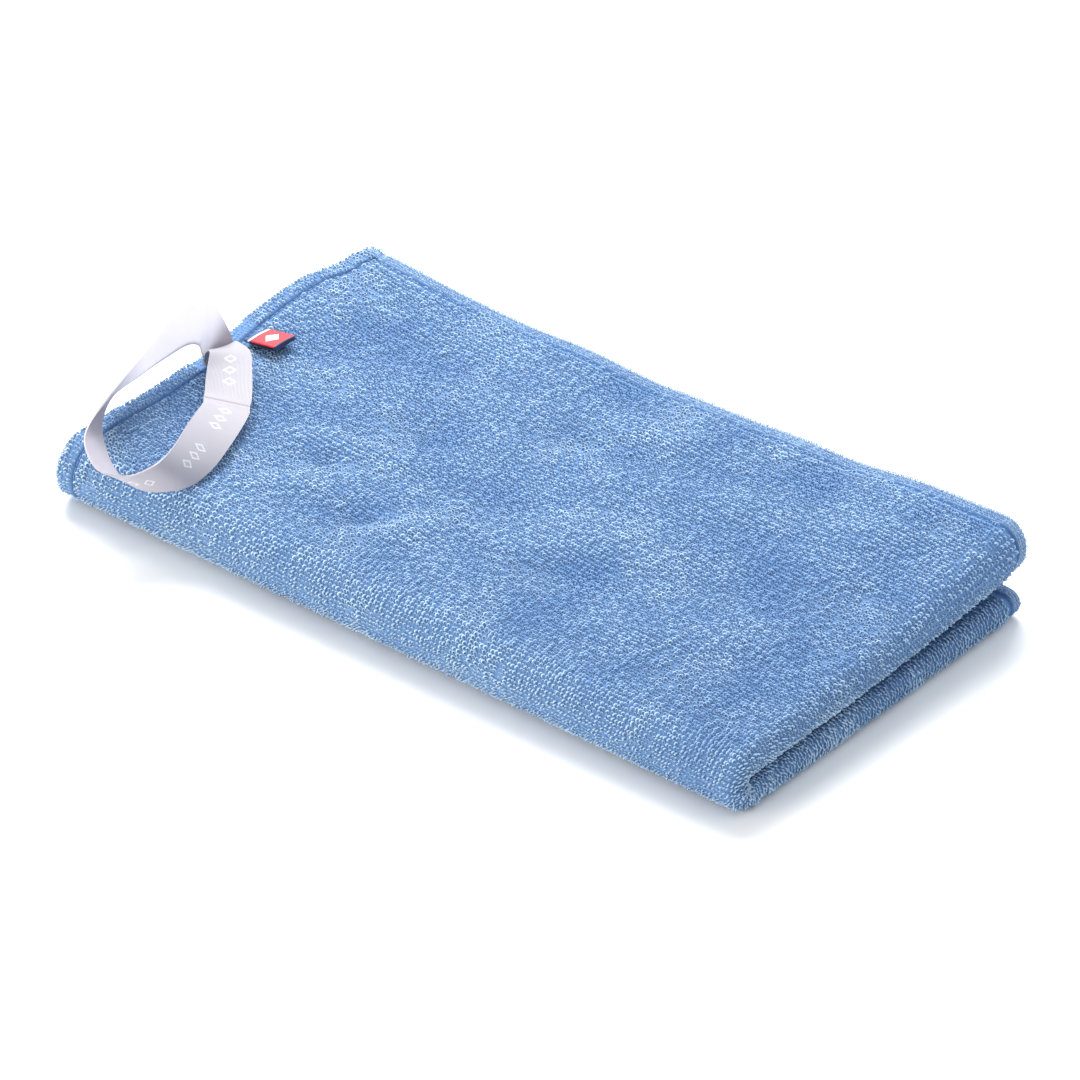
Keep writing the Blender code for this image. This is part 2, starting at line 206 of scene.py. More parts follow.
def soft_noise(points, size, seed):
    """Smooth noise from -1 to 1 at these points, with lumps of about this size."""
    shift = Vector((seed * 7.3, seed * 3.1, seed * 5.7))
    return np.array([noise.noise(Vector(p) / size + shift) for p in points])


def swell(x, y):
    """How far the cloth has risen or sunk here: two slow waves and the dents above."""
    total = 0.0010 * np.sin(x / 0.021 + y / 0.034) * np.sin(y / 0.027 - x / 0.055 + 1.1)
    total = total + 0.0006 * np.sin(x / 0.0115 - y / 0.019 + 2.0) * np.sin(y / 0.015 + x / 0.04)
    for cx, cy, rx, ry, turn, height in DENTS:
        dx, dy = x * 1000 - cx, y * 1000 - cy
        c, s = cos(radians(turn)), sin(radians(turn))
        reach = ((dx * c + dy * s) / rx) ** 2 + ((dy * c - dx * s) / ry) ** 2
        total = total + height / 1000 * np.exp(-reach)
    return total


def layer_heights(u, v, x, y):
    """The middles of the four layers, lowest first."""
    late = u**RISE
    fall = (1 - v) ** FALL
    lower = lerp(GAP, lerp(*LOWER_ROLL, v) - 2 * CLOTH, late)
    upper = lerp(GAP, lerp(*UPPER_ROLL, v) - 2 * CLOTH, late)
    middle = lerp(lerp(GAP, HEM_OPENING, fall), lerp(2 * GAP, FOLD_OPENING, fall), late)
    lift = swell(x, y) * smooth(v, 0.0, 0.14) * (1 - smooth(u, 0.93, 1.0))
    first = np.full_like(lift, CLOTH / 2)
    second = first + CLOTH + lower + 0.25 * lift
    third = second + CLOTH + middle + 0.45 * lift
    fourth = third + CLOTH + upper + 0.30 * lift
    along = u * (FOLD_END - HEM_END)
    by_hem = 1 - smooth(along, 0.005, 0.075)
    by_hem = by_hem * smooth(v, 0.57, 0.76) * (1 - 0.45 * smooth(v, 0.80, 0.90))
    by_end = smooth(u, 0.60, 1.0) * smooth(v, 0.45, 1.0)
    edge_lift = END_LIFT * by_end + HEM_LIFT * by_hem
    width = EDGE - FOLD_LINE
    step_starts, step_ends = 1 - (BORDER + 0.0012) / width, 1 - (BORDER - 0.0004) / width
    step_down = BORDER_DROP * smooth(v, step_starts, step_ends)
    third, fourth = third + 0.45 * edge_lift, fourth + edge_lift - step_down
    return first, second, third, fourth


# %% [markdown]
# The end fold is half a tube, and so is the long fold. Where they meet, at the corner, the cloth
# turns in all round a hollow: the half tube of the end fold is carried round the long fold's
# half circle. `place` gives a point on the middle of the cloth, and `facing` its direction out.

# %% Where a point of the cloth lies


def place(half, a, t):
    """Points on the middle of the cloth of this half, "upper" or "lower"."""
    a, t = np.broadcast_arrays(np.asarray(a, float), np.asarray(t, float))
    v, bend = np.clip(t, 0, 1), np.clip(-t, 0, 1)
    inner = a > 1.5
    u = np.clip(np.where(inner, 3 - a, a), 0, 1)
    roll = lerp(*(UPPER_ROLL if half == "upper" else LOWER_ROLL), v)
    x = lerp(HEM_END, FOLD_END - roll / 2 - END_DRAW_IN[half] * v**2, u)
    if half == "upper":
        out_of_line = smooth(v, 0.38, 0.62) * (1 - 0.75 * smooth(v, 0.78, 0.92))
        x = x - HEM_BULGE * out_of_line * (1 - smooth(u, 0.02, 0.25))
    y, y_inner = (lerp(FOLD_LINE, EDGE - draw_in * u, v) for draw_in in EDGE_DRAW_IN[half])
    z4, z3, z2, z1 = layer_heights(u, v, x, y)
    outer_z, inner_z = (z1, z2) if half == "upper" else (z4, z3)
    phi = (1 - bend) * (pi / 2 if half == "upper" else -pi / 2)
    outer_radius, inner_radius = (z1 - z4) / 2, (z2 - z3) / 2
    around = bend > 0
    outer_y = np.where(around, FOLD_LINE - outer_radius * np.cos(phi), y)
    inner_y = np.where(around, FOLD_LINE - inner_radius * np.cos(phi), y_inner)
    outer_z = np.where(around, (z1 + z4) / 2 + outer_radius * np.sin(phi), outer_z)
    inner_z = np.where(around, (z2 + z3) / 2 + inner_radius * np.sin(phi), inner_z)
    turn = np.clip(a - 1, 0, 1) * pi
    radius = np.hypot(outer_y - inner_y, outer_z - inner_z) / 2
    along_x = x + radius * np.sin(turn)
    share = (1 - np.cos(turn)) / 2
    y, z = lerp(outer_y, inner_y, share), lerp(outer_z, inner_z, share)
    return np.stack([along_x, y, z], -1)


def facing(half, a, t):
    """(outward direction, direction along the cloth) at these places."""
    step = 1e-3
    low, high = np.clip(a - step, 0, 3), np.clip(a + step, 0, 3)
    ahead = place(half, high, t) - place(half, low, t)
    near, far = np.clip(t - step, -1, 1), np.clip(t + step, -1, 1)
    across = place(half, a, far) - place(half, a, near)
    out = np.cross(ahead, across) * (1 if half == "upper" else -1)
    out /= np.linalg.norm(out, axis=-1, keepdims=True)
    ahead /= np.linalg.norm(ahead, axis=-1, keepdims=True)
    return out, ahead


LAYER_LENGTH = FOLD_END - HEM_END - END_ROOM
LAYER_WIDTH = EDGE - FOLD_LINE


def from_hem(a):
    return np.minimum(a, 3 - np.asarray(a, float)) * LAYER_LENGTH


def from_selvedge(t):
    return (1 - np.clip(t, 0, 1)) * LAYER_WIDTH


# %% [markdown]
# ## The ground of the cloth
# Under its loops, terry has a plain woven ground. Here it is one closed skin for each half of the
# towel, which follows the formula on both its faces. It is thick at the hem, where the cloth is
# doubled, pinched where the hem is stitched, and thin along the selvedge, where a bare strip
# divides the terry from a few rows of small loops.

# %% Thickness of the ground
GROUND, HEM_GROUND, PINCHED, BORDER_GROUND = 0.00125, 0.00165, 0.0007, 0.0009


def half_thickness(a, t):
    hem, edge = from_hem(a), from_selvedge(t)
    h = lerp(HEM_GROUND, GROUND, smooth(hem, HEM_WIDTH - 0.0006, HEM_WIDTH + 0.0010))
    pinch = bell(hem - HEM_SEAM, 0.0006)
    h = lerp(h, PINCHED, pinch)
    bordered = smooth(edge, BORDER - 0.0004, BORDER + 0.0012)
    h = lerp(BORDER_GROUND, h, np.maximum(bordered, hem < HEM_WIDTH + GROOVE))
    for distance, turn in ((hem, HEM_GROUND), (edge, 0.0010)):
        h = h * np.sqrt(1 - (1 - np.clip(distance / turn, 0.02, 1)) ** 2)
    return h


def grid_faces(rows, columns, offset=0, flip=False):
    i, j = np.meshgrid(np.arange(rows - 1), np.arange(columns - 1), indexing="ij")
    first = (i * columns + j).ravel() + offset
    quads = np.stack([first, first + 1, first + columns + 1, first + columns], 1)
    return quads if flip else quads[:, ::-1]


def mesh_object(name, points, faces, materials, smooth_angle=50):
    mesh = bpy.data.meshes.new(name)
    points, faces = (rows if isinstance(rows, list) else rows.tolist() for rows in (points, faces))
    mesh.from_pydata(points, [], faces)
    for finish in materials:
        mesh.materials.append(finish)
    mesh.shade_smooth()
    mesh.set_sharp_from_angle(angle=radians(smooth_angle))
    made = bpy.data.objects.new(name, mesh)
    bpy.context.scene.collection.objects.link(made)
    return made


# %% [markdown]
# ## Finishes
# The towel is one blue throughout, and what varies is how much light its loops catch, which is
# painted into their colour. Their tips are painted pale and their roots dark, as painted highlight
# and painted shade, and a slow mottling of random tone and painted light makes some parts look
# brushed. The finishes use the mesh's own attributes and positions, so they stay on the cloth when
# it moves.

# %% Helpers for finishes


def node(tree, kind, inputs=None, **settings):
    made = tree.nodes.new(kind)
    for key, value in settings.items():
        setattr(made, key, value)
    for key, value in (inputs or {}).items():
        if isinstance(key, str):
            socket = next(s for s in made.inputs if s.enabled and s.name == key)
        else:
            socket = made.inputs[key]
        if isinstance(value, bpy.types.NodeSocket):
            tree.links.new(value, socket)
        else:
            socket.default_value = value
    return made


def out(made, name=None):
    return next(s for s in made.outputs if s.enabled and (name is None or s.name == name))


def attribute(tree, name):
    return out(node(tree, "ShaderNodeAttribute", attribute_name=name), "Fac")


def blended(tree, factor, a, b, how="MIX"):
    sockets = {"Factor": factor, "A": a, "B": b}
    return out(node(tree, "ShaderNodeMix", sockets, data_type="RGBA", blend_type=how))


def spread(tree, value, low, high, to_low=0.0, to_high=1.0):
    sockets = {"Value": value, "From Min": low, "From Max": high}
    sockets.update({"To Min": to_low, "To Max": to_high})
    return out(node(tree, "ShaderNodeMapRange", sockets))


def finish(name, roughness, sheen=0.0, sheen_tint=(1, 1, 1, 1), specular=0.25):
    """(material, its node tree, its surface) with the values that are the same all over."""
    made = bpy.data.materials.new(name)
    made.use_nodes = True
    surface = made.node_tree.nodes["Principled BSDF"]
    surface.inputs["Roughness"].default_value = roughness
    surface.inputs["Sheen Weight"].default_value = sheen
    surface.inputs["Sheen Roughness"].default_value = 0.5
    surface.inputs["Sheen Tint"].default_value = sheen_tint
    surface.inputs["Specular IOR Level"].default_value = specular
    return made, made.node_tree, surface


def mottled(tree, dark, light, scale):
    """A colour that drifts between two, over lumps of 1 / scale metres."""
    where = out(node(tree, "ShaderNodeTexCoord"), "Object")
    lumps = node(tree, "ShaderNodeTexNoise", {"Vector": where, "Scale": scale, "Detail": 3.0})
    return blended(tree, spread(tree, out(lumps), 0.32, 0.68), dark, light)


# %% Terry loops
# Painted shade at the roots of the loops and painted highlight at their tips, set by height up each
# loop.
LOOP_ROOT_SHADE, LOOP_TIP_HIGHLIGHT = (0.185, 0.315, 0.525, 1), (0.330, 0.485, 0.690, 1)

# Random mottling together with painted light: lighter where the cloth swells, on both folds and
# towards the hems.
TONE_AND_SHADE_DARK, TONE_AND_LIGHT_BRIGHT = (0.60, 0.71, 0.84, 1), (1.24, 1.18, 1.10, 1)

terry, tree, surface = finish(
    "terry_loops", 0.95, sheen=0.09, sheen_tint=(0.75, 0.87, 1, 1), specular=0.15
)
# Each loop's colour runs from painted shade at the root to painted highlight at the tip, times
# mottling and painted light.
yarn = blended(tree, attribute(tree, "tip"), LOOP_ROOT_SHADE, LOOP_TIP_HIGHLIGHT)
coarse_tone_and_light = blended(tree, attribute(tree, "tone_and_light"), TONE_AND_SHADE_DARK, TONE_AND_LIGHT_BRIGHT)
tinted = blended(tree, 1.0, yarn, coarse_tone_and_light, "MULTIPLY")
own_shade = spread(tree, attribute(tree, "own_shade"), 0.0, 1.0, 0.84, 1.06)
tree.links.new(blended(tree, 1.0, tinted, own_shade, "MULTIPLY"), surface.inputs["Base Color"])

# %% Woven ground and selvedge
# The ground is painted darker than the loops, as painted shade down between them, and drifts at
# random between two blues.
GROUND_DARK, GROUND_LIGHT = (0.100, 0.205, 0.410, 1), (0.140, 0.258, 0.480, 1)
# The grooves along the hem's stitching and in the selvedge strip are painted darker still, as
# painted shade.
GROOVE_SHADE_COLOUR = (0.040, 0.095, 0.220, 1)

ground, tree, surface = finish("terry_ground", 0.95, specular=0.1)
plain = mottled(tree, GROUND_DARK, GROUND_LIGHT, 900.0)
tree.links.new(
    blended(tree, attribute(tree, "groove_shade"), plain, GROOVE_SHADE_COLOUR), surface.inputs["Base Color"]
)

selvedge, tree, surface = finish("selvedge_weave", 0.85, sheen=0.1, specular=0.2)
where = out(node(tree, "ShaderNodeUVMap", uv_map="cloth"), "UV")
weave = node(tree, "ShaderNodeTexBrick", {"Vector": where, "Scale": 1.0}, offset=0.5, squash=1.0)
for key, value in {
    "Color1": (0.300, 0.440, 0.650, 1),
    "Color2": (0.240, 0.380, 0.600, 1),
    "Mortar": (0.130, 0.240, 0.450, 1),
    "Mortar Size": 0.00016,
    "Mortar Smooth": 1.0,
    "Brick Width": 0.0015,
    "Row Height": 0.0008,
}.items():
    weave.inputs[key].default_value = value
relief = {"Height": weave.outputs["Fac"], "Strength": 0.6, "Distance": 0.0003}
bump = node(tree, "ShaderNodeBump", relief, invert=True)
tree.links.new(weave.outputs["Color"], surface.inputs["Base Color"])
tree.links.new(out(bump), surface.inputs["Normal"])
print("finishes:", [m.name for m in (terry, ground, selvedge)])

# %% Make the ground of both halves
HEM_STEPS = np.concatenate([[0, 0.0002, 0.0006, 0.0012], np.arange(0.002, 0.0105, 0.0005)])
HEM_STEPS = HEM_STEPS / LAYER_LENGTH
FLAT_STEPS = np.linspace(HEM_STEPS[-1], 1, 100)[1:]
ROLL_STEPS = np.linspace(1, 2, 17)[1:-1]
FIRST = np.concatenate([HEM_STEPS, FLAT_STEPS])
ALONG = np.concatenate([FIRST, ROLL_STEPS, 3 - FIRST[::-1]])
STEP_DOWN = BORDER + np.array([0.0017, 0.0010, 0.0004, -0.0002, -0.0014, -0.0026, -BORDER_GROOVE])
EDGE_STEPS = np.concatenate([STEP_DOWN, [0.0036, 0.0025, 0.0012, 0.0005, 0.0001, 0]])
EDGE_STEPS = 1 - EDGE_STEPS / LAYER_WIDTH
FLAT_ACROSS = np.linspace(0, EDGE_STEPS[0], 52)[1:-1]
ACROSS = np.concatenate([np.linspace(-1, 0, 13), FLAT_ACROSS, EDGE_STEPS])
SEAM_IN_BORDER = BORDER - 0.0026


def ground_of(half):
    a, t = np.meshgrid(ALONG, ACROSS, indexing="ij")
    middle, (out_ward, _) = place(half, a, t), facing(half, a, t)
    offset = out_ward * half_thickness(a, t)[..., None]
    rows, columns = a.shape
    sides = [(middle + offset).reshape(-1, 3), (middle - offset).reshape(-1, 3)]
    flip = half == "upper"
    outside = grid_faces(rows, columns, 0, not flip)
    inside = grid_faces(rows, columns, rows * columns, flip)
    index = np.arange(rows * columns).reshape(rows, columns)
    ring = np.concatenate([index[0, :], index[1:, -1], index[-1, -2::-1], index[-2:0:-1, 0]])
    following = np.roll(ring, -1)
    rim = np.stack([ring, following, following + rows * columns, ring + rows * columns], 1)
    rim = rim if half == "upper" else rim[:, ::-1]
    quads = np.concatenate([outside, inside, rim])
    made = mesh_object(f"{half}_ground", np.concatenate(sides), quads, [ground, selvedge])
    layer = made.data.uv_layers.new(name="cloth")
    spot = np.stack([(a * LAYER_LENGTH).ravel(), ((t + 1) * LAYER_WIDTH).ravel()], 1)
    corner_index = np.empty(len(made.data.loops), int)
    made.data.loops.foreach_get("vertex_index", corner_index)
    spot = spot[corner_index % (rows * columns)]
    layer.uv.foreach_set("vector", spot.astype(np.float32).ravel())
    edge, hem = from_selvedge(t).ravel(), from_hem(a).ravel()
    # Painted shade along the hem's stitching and along a line in the selvedge strip, where the
    # cloth sinks.
    groove_shade_amount = bell(edge - SEAM_IN_BORDER, 0.0012) + 0.8 * bell(hem - HEM_SEAM, 0.0010)
    groove_shade_layer = made.data.attributes.new("groove_shade", "FLOAT", "POINT")
    groove_shade_layer.data.foreach_set("value", np.tile(np.clip(groove_shade_amount, 0, 1), 2).astype(np.float32))
    edge_faces = from_selvedge(t).ravel() < BORDER - BORDER_GROOVE + 0.0002
    for face in made.data.polygons:
        if all(edge_faces[i % (rows * columns)] for i in face.vertices):
            face.material_index = 1
    return made


grounds = {half: ground_of(half) for half in ("upper", "lower")}
print({half: len(made.data.polygons) for half, made in grounds.items()}, "faces in the grounds")

# %% [markdown]
# ## Loops of the terry
# Terry is covered with uncut loops of yarn, 1.9 mm apart in rows along and across. Tens of
# thousands are needed, and each is only a few faces. Points are laid out by the formula, with the
# directions that a loop needs, and a Geometry Nodes tree puts a small ring of yarn on each point.

# %% The tree that puts a loop on every point
LOOP_CENTRE = 0.00055  # above the ground
TWIST, WOBBLE = 0.5, 0.42  # how far a loop may turn and lean from its neighbours, in radians


def named(tree, name, kind):
    return out(node(tree, "GeometryNodeInputNamedAttribute", {"Name": name}, data_type=kind))


def turned(tree, rotation, axis, angle):
    by = node(tree, "FunctionNodeAxisAngleToRotation", {"Axis": axis, "Angle": angle})
    sockets = {"Rotation": rotation, "Rotate By": out(by)}
    return out(node(tree, "FunctionNodeRotateRotation", sockets, rotation_space="LOCAL"))


def random_of(tree, low, high, seed):
    sockets = {"Min": low, "Max": high, "Seed": seed}
    return out(node(tree, "FunctionNodeRandomValue", sockets, data_type="FLOAT"))


def upright(tree):
    """A rotation with Z along "facing" and X as near to "ahead" as that allows."""
    facing_out = {"Vector": named(tree, "facing", "FLOAT_VECTOR")}
    stand = node(tree, "FunctionNodeAlignRotationToVector", facing_out, axis="Z")
    sockets = {"Rotation": out(stand), "Vector": named(tree, "ahead", "FLOAT_VECTOR")}
    return out(
        node(tree, "FunctionNodeAlignRotationToVector", sockets, axis="X", pivot_axis="Z")
    )


def start_tree(name, sockets):
    tree = bpy.data.node_groups.new(name, "GeometryNodeTree")
    tree.interface.new_socket("Geometry", in_out="INPUT", socket_type="NodeSocketGeometry")
    for label, (kind, default) in sockets.items():
        socket = tree.interface.new_socket(label, in_out="INPUT", socket_type=kind)
        if default is not None:
            socket.default_value = default
    tree.interface.new_socket("Geometry", in_out="OUTPUT", socket_type="NodeSocketGeometry")
    return tree, tree.nodes.new("NodeGroupInput"), tree.nodes.new("NodeGroupOutput")


def end_tree(tree, instances, given, result):
    real = node(tree, "GeometryNodeRealizeInstances", {"Geometry": instances})
    sockets = {"Geometry": out(real), "Material": given.outputs["Material"]}
    coated = node(tree, "GeometryNodeSetMaterial", sockets)
    tree.links.new(out(coated), result.inputs["Geometry"])
    return tree


def pile_tree():
    tree, given, result = start_tree(
        "terry pile",
        {
            "Loop Radius": ("NodeSocketFloat", 0.00063),
            "Yarn Radius": ("NodeSocketFloat", 0.00032),
            "Loop Points": ("NodeSocketInt", 6),
            "Seed": ("NodeSocketInt", 1),
            "Material": ("NodeSocketMaterial", None),
        },
    )
    arc = node(
        tree,
        "GeometryNodeCurveArc",
        {
            "Resolution": given.outputs["Loop Points"],
            "Radius": given.outputs["Loop Radius"],
            "Start Angle": radians(-42),
            "Sweep Angle": radians(264),
        },
    )
    stood_up = {"Geometry": out(arc), "Rotation": (pi / 2, 0, 0)}
    upended = node(tree, "GeometryNodeTransform", stood_up)
    lift = {"Geometry": out(upended), "Translation": (0, 0, LOOP_CENTRE)}
    raised = node(tree, "GeometryNodeTransform", lift)
    round_yarn = {"Resolution": 3, "Radius": given.outputs["Yarn Radius"]}
    section = node(tree, "GeometryNodeCurvePrimitiveCircle", round_yarn)
    swept = {"Curve": out(raised), "Profile Curve": out(section)}
    tube = node(tree, "GeometryNodeCurveToMesh", swept)
    position = out(node(tree, "GeometryNodeInputPosition"))
    height = out(node(tree, "ShaderNodeSeparateXYZ", {"Vector": position}), "Z")
    # The height up the loop, which the finish turns into painted shade at the root and painted
    # highlight at the tip.
    marks = {"Geometry": out(tube), "Name": "tip", "Value": spread(tree, height, -0.0001, 0.0010)}
    marked = node(tree, "GeometryNodeStoreNamedAttribute", marks, domain="POINT")
    rounded = node(tree, "GeometryNodeSetShadeSmooth", {"Geometry": out(marked)})
    seed = given.outputs["Seed"]
    twisted = turned(tree, upright(tree), (0, 0, 1), random_of(tree, -TWIST, TWIST, seed))
    wobble = random_of(tree, -WOBBLE, WOBBLE, seed)
    own_lean = named(tree, "lean", "FLOAT")
    lean = node(tree, "ShaderNodeMath", {0: own_lean, 1: wobble}, operation="ADD")
    leaning = turned(tree, twisted, (1, 0, 0), out(lean))
    size = node(
        tree,
        "ShaderNodeMath",
        {0: named(tree, "size", "FLOAT"), 1: random_of(tree, 0.80, 1.20, seed)},
        operation="MULTIPLY",
    )
    placed = node(
        tree,
        "GeometryNodeInstanceOnPoints",
        {
            "Points": given.outputs["Geometry"],
            "Instance": out(rounded),
            "Rotation": leaning,
            "Scale": out(size),
        },
    )
    shaded = node(
        tree,
        "GeometryNodeStoreNamedAttribute",
        {"Geometry": out(placed), "Name": "own_shade", "Value": random_of(tree, 0.0, 1.0, seed)},
        domain="INSTANCE",
    )
    return end_tree(tree, out(shaded), given, result)


PILE = pile_tree()

# %% Use a tree on a set of points


def grown(name, tree, points, attributes, settings):
    """The plain mesh that a tree makes from points with these attributes."""
    mesh = bpy.data.meshes.new(name + "_points")
    mesh.from_pydata(np.asarray(points).tolist(), [], [])
    for key, values in attributes.items():
        values = np.asarray(values, np.float32)
        kind = "FLOAT_VECTOR" if values.ndim == 2 else "FLOAT"
        made = mesh.attributes.new(key, kind, "POINT")
        made.data.foreach_set("vector" if values.ndim == 2 else "value", values.ravel())
    seeds = bpy.data.objects.new(name + "_points", mesh)
    bpy.context.scene.collection.objects.link(seeds)
    modifier = seeds.modifiers.new("grow", "NODES")
    modifier.node_group = tree
    for item in tree.interface.items_tree:
        if item.name in settings:
            modifier[item.identifier] = settings[item.name]
    graph = bpy.context.evaluated_depsgraph_get()
    result = bpy.data.meshes.new_from_object(seeds.evaluated_get(graph))
    result.name = name
    made = bpy.data.objects.new(name, result)
    bpy.context.scene.collection.objects.link(made)
    bpy.data.objects.remove(seeds)
    return made


# %% [markdown]
# The loops stand in rows, but handling has brushed them over in places. A slow noise chooses
# where they lean and which way, so that upright rings and combed patches lie side by side. Faces
# that show get rounder loops than the faces that lie inside the fold. The loops' colour is painted
# lighter where the cloth swells, on both folds and towards the hems, as painted light where the
# loops catch more of it, on top of a random mottling.

# %% Lay out the loops
PITCH, BORDER_PITCH = 0.00185, 0.0013
SEAM_CLEAR = 0.0013  # bare cloth on either side of the stitches
SEWN_IN = (-0.0165, 0.0245)  # along the hem, where the ribbon and the label press the loops flat
ROW_JITTER = 0.6  # the rows that run along the towel stay straighter than those across it
SEED = np.random.default_rng(11)


def loop_points(half, a_range, t_range, rows_length, rows_width, pitch=PITCH):
    """Places in rows on one face: (points, facing, ahead, lean, size, tone with painted light)."""
    count_a = max(2, round(rows_length / pitch))
    count_t = max(2, round(rows_width / pitch))
    i, j = np.meshgrid(np.arange(count_a), np.arange(count_t), indexing="ij")
    jitter = SEED.uniform(-0.24, 0.24, (2, *i.shape))
    a = lerp(*a_range, np.clip((i + 0.5 + jitter[0]) / count_a, 0, 1)).ravel()
    t = lerp(*t_range, np.clip((j + 0.5 + ROW_JITTER * jitter[1]) / count_t, 0, 1)).ravel()
    hem, edge = from_hem(a), from_selvedge(t)
    looped = (edge > BORDER + 0.0007) | (hem < HEM_WIDTH) & (edge > 0.0004)
    if pitch < PITCH:
        looped = (edge < BORDER - BORDER_GROOVE) & (edge > 0.0003) & (hem > HEM_WIDTH)
    keep = looped & (np.abs(hem - HEM_SEAM) > SEAM_CLEAR) & (hem > 0.0008)
    a, t, hem = a[keep], t[keep], hem[keep]
    out_ward, ahead = facing(half, a, t)
    points = place(half, a, t) + out_ward * (half_thickness(a, t) - 0.0001)[:, None]
    patches = soft_noise(points, 0.034, 5) + 0.5 * soft_noise(points, 0.011, 8)
    brushed = smooth(patches, 0.05, 0.40)
    turn = 0.62 * smooth(-t, -0.25, 0.1) + 0.12 - 0.12 * brushed
    turn = turn + 0.45 * soft_noise(points, 0.020, 3)
    sideways = np.cross(out_ward, ahead)
    ahead = ahead * np.cos(turn)[:, None] + sideways * np.sin(turn)[:, None]
    lean = -0.62 - 0.40 * brushed + 0.3 * soft_noise(points, 0.006, 9)
    size = np.where(hem < HEM_WIDTH, 0.9, 1.0) * (1 + 0.15 * brushed)
    size = size * (0.60 if pitch < PITCH else 1.0)
    x, y = points[:, 0], points[:, 1]
    # Random mottling plus painted light: lighter on the swells of the cloth, towards the hems, on
    # the long fold and round the end fold.
    tone_and_light = 0.46 + 0.35 * brushed + 0.5 * soft_noise(points, 0.018, 6) + 150 * swell(x, y)
    tone_and_light = tone_and_light - 1.1 * x + 0.5 * smooth(-t, -0.1, 0.4) + 0.5 * smooth(a, 0.95, 1.12) * (a < 2)
    tone_and_light = np.clip(tone_and_light, 0, 1.35)
    pressed = (y > SEWN_IN[0]) & (y < SEWN_IN[1]) & (hem < 1.6 * HEM_WIDTH)
    size = np.where(pressed & (half == "upper"), 0.55 * size, size)
    size = np.where((t > 0) & (a < 1) & (half == "lower"), 0.8 * size, size)
    return points, out_ward, ahead, lean, size, tone_and_light


def hem_end_points(half, end):
    """Loops round the turned edge of a hem. end is 0 on the outer layer and 3 on the inner one."""
    arc = OUTER_ARC if end == 0 else INNER_ARC
    rows = []
    for k, tilt in enumerate((-1.0, -0.33, 0.33, 1.0)):
        bends = np.arange(-1 + 0.04 * (k % 2), 0, PITCH / arc)
        flats = np.arange(0.004 * (k % 2), 0.996, PITCH / LAYER_WIDTH)
        t = np.concatenate([bends, flats])
        t = t + SEED.uniform(-0.001, 0.001, len(t))
        a = np.full(len(t), HEM_GROUND / LAYER_LENGTH)
        a = a if end == 0 else 3 - a
        out_ward, ahead = facing(half, a, t)
        end_ward = ahead * (-1 if end == 0 else 1)
        direction = end_ward * cos(tilt) + out_ward * sin(tilt)
        points = place(half, a, t) + direction * (HEM_GROUND - 0.0001)
        sideways = np.cross(out_ward, ahead)
        y = points[:, 1]
        under_label = (half == "upper") & (y > SEWN_IN[0]) & (y < SEWN_IN[1])
        size = np.where(under_label, 0.5, 0.9)
        lean, tone_and_light = np.full(len(t), -0.3), np.full(len(t), 0.6)
        rows.append((points, direction, sideways, lean, size, tone_and_light))
    return tuple(np.concatenate(group) for group in zip(*rows))


def pile(name, half, parts, ring_points, seed, ends=()):
    edging = (parts[0][0], (1 - BORDER / LAYER_WIDTH, 1), parts[0][2], BORDER, BORDER_PITCH)
    groups = [loop_points(half, *part) for part in (*parts, edging)]
    groups += [hem_end_points(half, end) for end in ends]
    columns = [np.concatenate(group) for group in zip(*groups)]
    points, out_ward, ahead, lean, size, tone_and_light = columns
    made = grown(
        name,
        PILE,
        points,
        {"facing": out_ward, "ahead": ahead, "lean": lean, "size": size, "tone_and_light": tone_and_light},
        {"Loop Points": ring_points, "Seed": seed, "Material": terry},
    )
    print(name, len(points), "loops", len(made.data.polygons), "faces")
    return made


# %% Grow the loops
OUTER_ARC = FOLD_RADIUS * pi / 2
INNER_ARC = 0.0080
ROLL_ARC = {"upper": 0.0265, "lower": 0.0220}
piles = {"upper": [], "lower": []}
for half in ("upper", "lower"):
    fine = 6 if half == "upper" else 4
    for part in range(4):
        low, high = part / 4, (part + 1) / 4
        span = (high - low) * LAYER_LENGTH
        piles[half].append(
            pile(
                f"{half}_outer_pile_{part + 1}",
                half,
                [((low, high), (0, 1), span, LAYER_WIDTH), ((low, high), (-1, 0), span, OUTER_ARC)],
                fine,
                part + 1,
                ends=(0,) if part == 0 else (),
            )
        )
    width = LAYER_WIDTH - 0.006
    piles[half].append(
        pile(
            f"{half}_end_fold_pile",
            half,
            [((1, 2), (0, 1), ROLL_ARC[half], width), ((1, 2), (-1, 0), ROLL_ARC[half], 0.016)],
            6,
            7,
        )
    )
    for part in range(2):
        low, high = 2 + part / 2, 2.5 + part / 2
        span = LAYER_LENGTH / 2
        piles[half].append(
            pile(
                f"{half}_inner_pile_{part + 1}",
                half,
                [((low, high), (0, 1), span, LAYER_WIDTH), ((low, high), (-1, 0), span, INNER_ARC)],
                4,
                part + 11,
                ends=(3,) if part == 1 else (),
            )
        )

# %% [markdown]
# ## Stitching along the hems
# A hem is held by one row of straight stitches, which sink into the terry. Each stitch is a short
# rounded bar of thread. A second tree puts one on every point of the row.

# %% Stitches
thread, tree, surface = finish("hem_thread", 0.6, sheen=0.1, specular=0.35)
where = out(node(tree, "ShaderNodeTexCoord"), "Object")
waves = {"Vector": where, "Scale": 900.0, "Distortion": 2.0}
ply = node(tree, "ShaderNodeTexWave", waves, bands_direction="DIAGONAL")
twist = blended(tree, out(ply), (0.10, 0.21, 0.47, 1), (0.19, 0.33, 0.62, 1))
tree.links.new(twist, surface.inputs["Base Color"])


